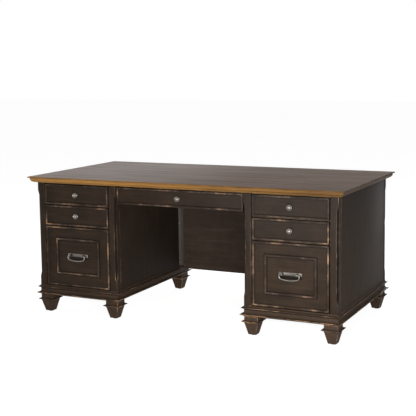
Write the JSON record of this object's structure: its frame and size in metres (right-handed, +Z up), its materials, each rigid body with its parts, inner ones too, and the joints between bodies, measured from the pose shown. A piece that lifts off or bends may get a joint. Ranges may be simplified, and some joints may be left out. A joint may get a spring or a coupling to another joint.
{
  "type": "double pedestal desk",
  "caption": "Dark distressed wood executive desk: moulded top on drawer pedestals with base mouldings and tapered feet, a drawer over the kneehole and a modesty panel.",
  "frame": {"origin": "on the floor under the middle of the top", "axes": "+X along the length to the sitter's right, -Y towards the sitter, +Z up"},
  "size_m": [1.828, 0.914, 0.768],
  "materials": {
    "painted_wood": "dark distressed paint rubbed through along the edges",
    "top_wood": "dark brown satin lacquer",
    "honey_wood": "honey stain, satin",
    "inside_wood": "plain sawn wood",
    "drawer_wood": "clear sealed wood",
    "pewter": "antiqued pewter",
    "slide_steel": "zinc plated",
    "glide_plastic": "matt"
  },
  "bodies": {
    "desk": {"top_panel": "top_wood", "top_edge_front": "honey_wood", "top_edge_sides": "top_wood", "left_posts": "painted_wood", "left_outer_side": "painted_wood", "left_inner_side": "painted_wood", "left_back": "painted_wood", "left_bottom": "inside_wood", "left_framing": "inside_wood", "left_base_moulding": "painted_wood", "left_feet": "painted_wood", "left_slide_channels": "slide_steel", "right_posts": "painted_wood", "right_outer_side": "painted_wood", "right_inner_side": "painted_wood", "right_back": "painted_wood", "right_bottom": "inside_wood", "right_framing": "inside_wood", "right_base_moulding": "painted_wood", "right_feet": "painted_wood", "right_slide_channels": "slide_steel", "centre_slide_channels": "slide_steel", "modesty_panel": "painted_wood", "modesty_cleats": "painted_wood", "assembly_screws": "slide_steel", "foot_glides": "glide_plastic"},
    "left_upper_drawer": {"left_upper_drawer_front": "painted_wood", "left_upper_drawer_box": "drawer_wood", "left_upper_drawer_knob": "pewter", "left_upper_drawer_runners": "slide_steel"},
    "left_middle_drawer": {"left_middle_drawer_front": "painted_wood", "left_middle_drawer_box": "drawer_wood", "left_middle_drawer_knob": "pewter", "left_middle_drawer_runners": "slide_steel"},
    "left_file_drawer": {"left_file_drawer_front": "painted_wood", "left_file_drawer_box": "drawer_wood", "left_file_drawer_rails": "slide_steel", "left_file_drawer_runners": "slide_steel", "left_file_pull_plate": "pewter"},
    "left_file_slide_middle": {"left_file_slide_middles": "slide_steel"},
    "left_bail": {"left_file_bail": "pewter"},
    "right_upper_drawer": {"right_upper_drawer_front": "painted_wood", "right_upper_drawer_box": "drawer_wood", "right_upper_drawer_knob": "pewter", "right_upper_drawer_runners": "slide_steel"},
    "right_middle_drawer": {"right_middle_drawer_front": "painted_wood", "right_middle_drawer_box": "drawer_wood", "right_middle_drawer_knob": "pewter", "right_middle_drawer_runners": "slide_steel"},
    "right_file_drawer": {"right_file_drawer_front": "painted_wood", "right_file_drawer_box": "drawer_wood", "right_file_drawer_rails": "slide_steel", "right_file_drawer_runners": "slide_steel", "right_file_pull_plate": "pewter"},
    "right_file_slide_middle": {"right_file_slide_middles": "slide_steel"},
    "right_bail": {"right_file_bail": "pewter"},
    "centre_drawer": {"centre_drawer_front": "painted_wood", "centre_drawer_box": "drawer_wood", "centre_drawer_knob": "pewter", "centre_drawer_runners": "slide_steel"}
  },
  "joints": [
    {"name": "left_upper_drawer_slide", "type": "slide", "parent": "desk", "child": "left_upper_drawer", "axis": [0, -1, 0], "range_m": [0, 0.38]},
    {"name": "left_middle_drawer_slide", "type": "slide", "parent": "desk", "child": "left_middle_drawer", "axis": [0, -1, 0], "range_m": [0, 0.38]},
    {"name": "left_file_drawer_slide", "type": "slide", "parent": "desk", "child": "left_file_drawer", "axis": [0, -1, 0], "range_m": [0, 0.55]},
    {"name": "left_file_slide_middle_slide", "type": "slide", "parent": "desk", "child": "left_file_slide_middle", "axis": [0, -1, 0], "range_m": [0, 0.275]},
    {"name": "left_bail_swing", "type": "hinge", "parent": "left_file_drawer", "child": "left_bail", "pos_m": [-0.624, -0.43, 0.338], "axis": [-1, 0, 0], "range_deg": [0, 90]},
    {"name": "right_upper_drawer_slide", "type": "slide", "parent": "desk", "child": "right_upper_drawer", "axis": [0, -1, 0], "range_m": [0, 0.38]},
    {"name": "right_middle_drawer_slide", "type": "slide", "parent": "desk", "child": "right_middle_drawer", "axis": [0, -1, 0], "range_m": [0, 0.38]},
    {"name": "right_file_drawer_slide", "type": "slide", "parent": "desk", "child": "right_file_drawer", "axis": [0, -1, 0], "range_m": [0, 0.55]},
    {"name": "right_file_slide_middle_slide", "type": "slide", "parent": "desk", "child": "right_file_slide_middle", "axis": [0, -1, 0], "range_m": [0, 0.275]},
    {"name": "right_bail_swing", "type": "hinge", "parent": "right_file_drawer", "child": "right_bail", "pos_m": [0.624, -0.43, 0.338], "axis": [-1, 0, 0], "range_deg": [0, 90]},
    {"name": "centre_drawer_slide", "type": "slide", "parent": "desk", "child": "centre_drawer", "axis": [0, -1, 0], "range_m": [0, 0.28]}
  ],
  "couplings": [
    {"joint": "left_file_slide_middle_slide", "follows": "left_file_drawer_slide", "ratio": 0.5},
    {"joint": "right_file_slide_middle_slide", "follows": "right_file_drawer_slide", "ratio": 0.5}
  ]
}
